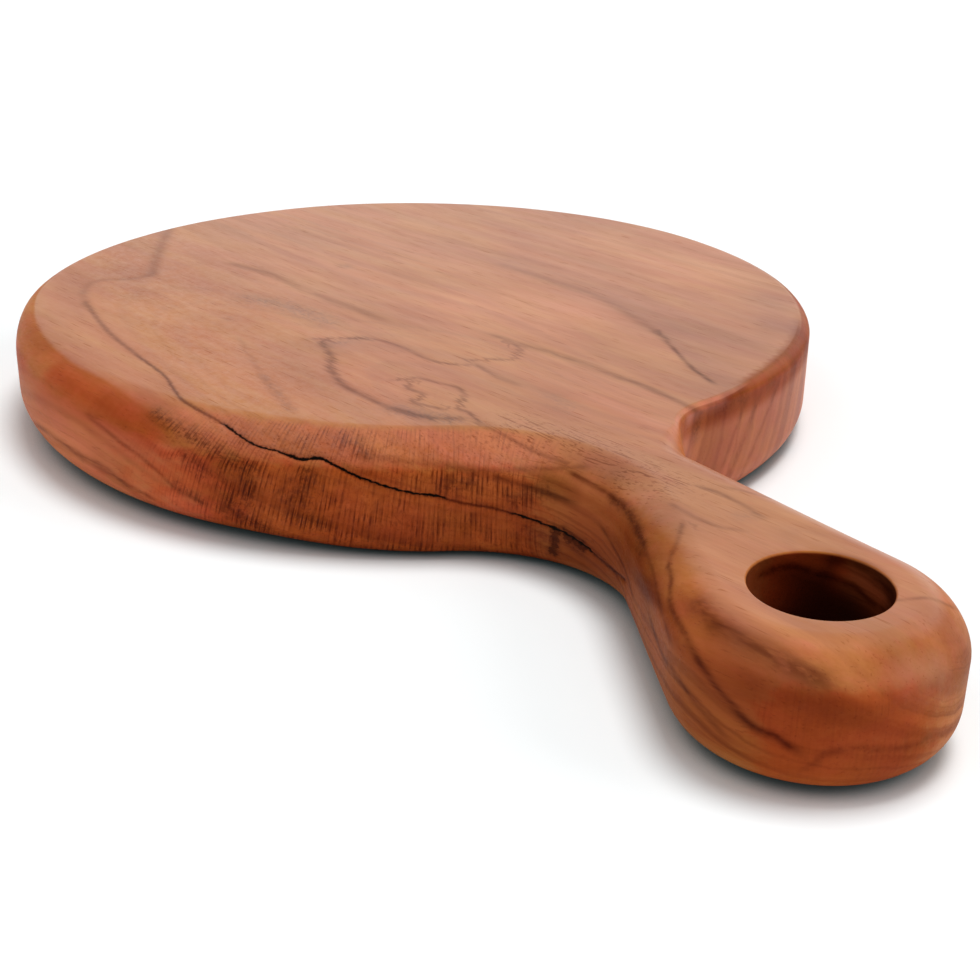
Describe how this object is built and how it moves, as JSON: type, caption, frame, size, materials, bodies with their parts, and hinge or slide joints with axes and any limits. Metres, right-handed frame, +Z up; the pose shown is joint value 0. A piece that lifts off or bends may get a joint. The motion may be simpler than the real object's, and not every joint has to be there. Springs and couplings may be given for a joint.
{
  "type": "serving board",
  "caption": "Round wooden serving board with a short paddle handle, a finger hole through the handle, soft rounded edges and flat top and underside.",
  "frame": {"origin": "centre of the round blade, on the flat underside", "axes": "+Z up out of the serving face, -Y along the handle through the centre of the finger hole, +X to the right seen from the handle"},
  "size_m": [0.1999, 0.3002, 0.0265],
  "materials": {
    "teak": "sanded and oiled, satin, with the plank's natural growth-ring figure and a dark ring shake"
  },
  "bodies": {
    "root": {"board": "teak"}
  },
  "joints": []
}
